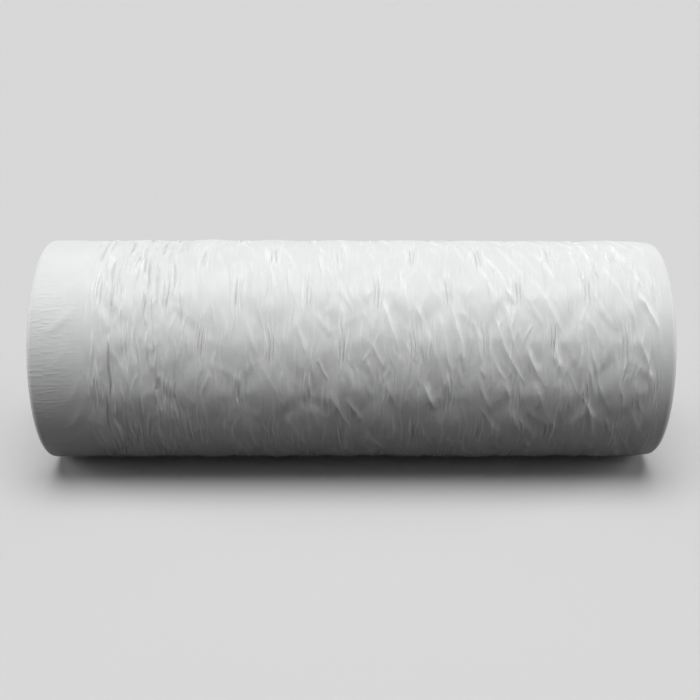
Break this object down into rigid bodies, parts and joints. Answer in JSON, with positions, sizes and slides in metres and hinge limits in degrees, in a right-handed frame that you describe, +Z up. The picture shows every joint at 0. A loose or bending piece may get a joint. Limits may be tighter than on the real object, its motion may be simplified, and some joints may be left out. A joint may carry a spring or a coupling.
{
  "type": "air pillow film roll",
  "caption": "Roll of deflated air pillow film, its last turn puckered into soft flat cushions, wound on a paper tube and lying on its side.",
  "frame": {"origin": "on the surface the roll lies on, under the middle of its length and its axis", "axes": "+X along the roll from the plain inflation channel to the plain edge, +Z up, -Y towards the picture's viewpoint"},
  "size_m": [0.403, 0.1461, 0.1441],
  "materials": {
    "film": "satin white film, slightly translucent",
    "paper_tube": "spiral-wound brown paper"
  },
  "bodies": {
    "root": {"film_roll": "film", "core_tube": "paper_tube"}
  },
  "joints": []
}
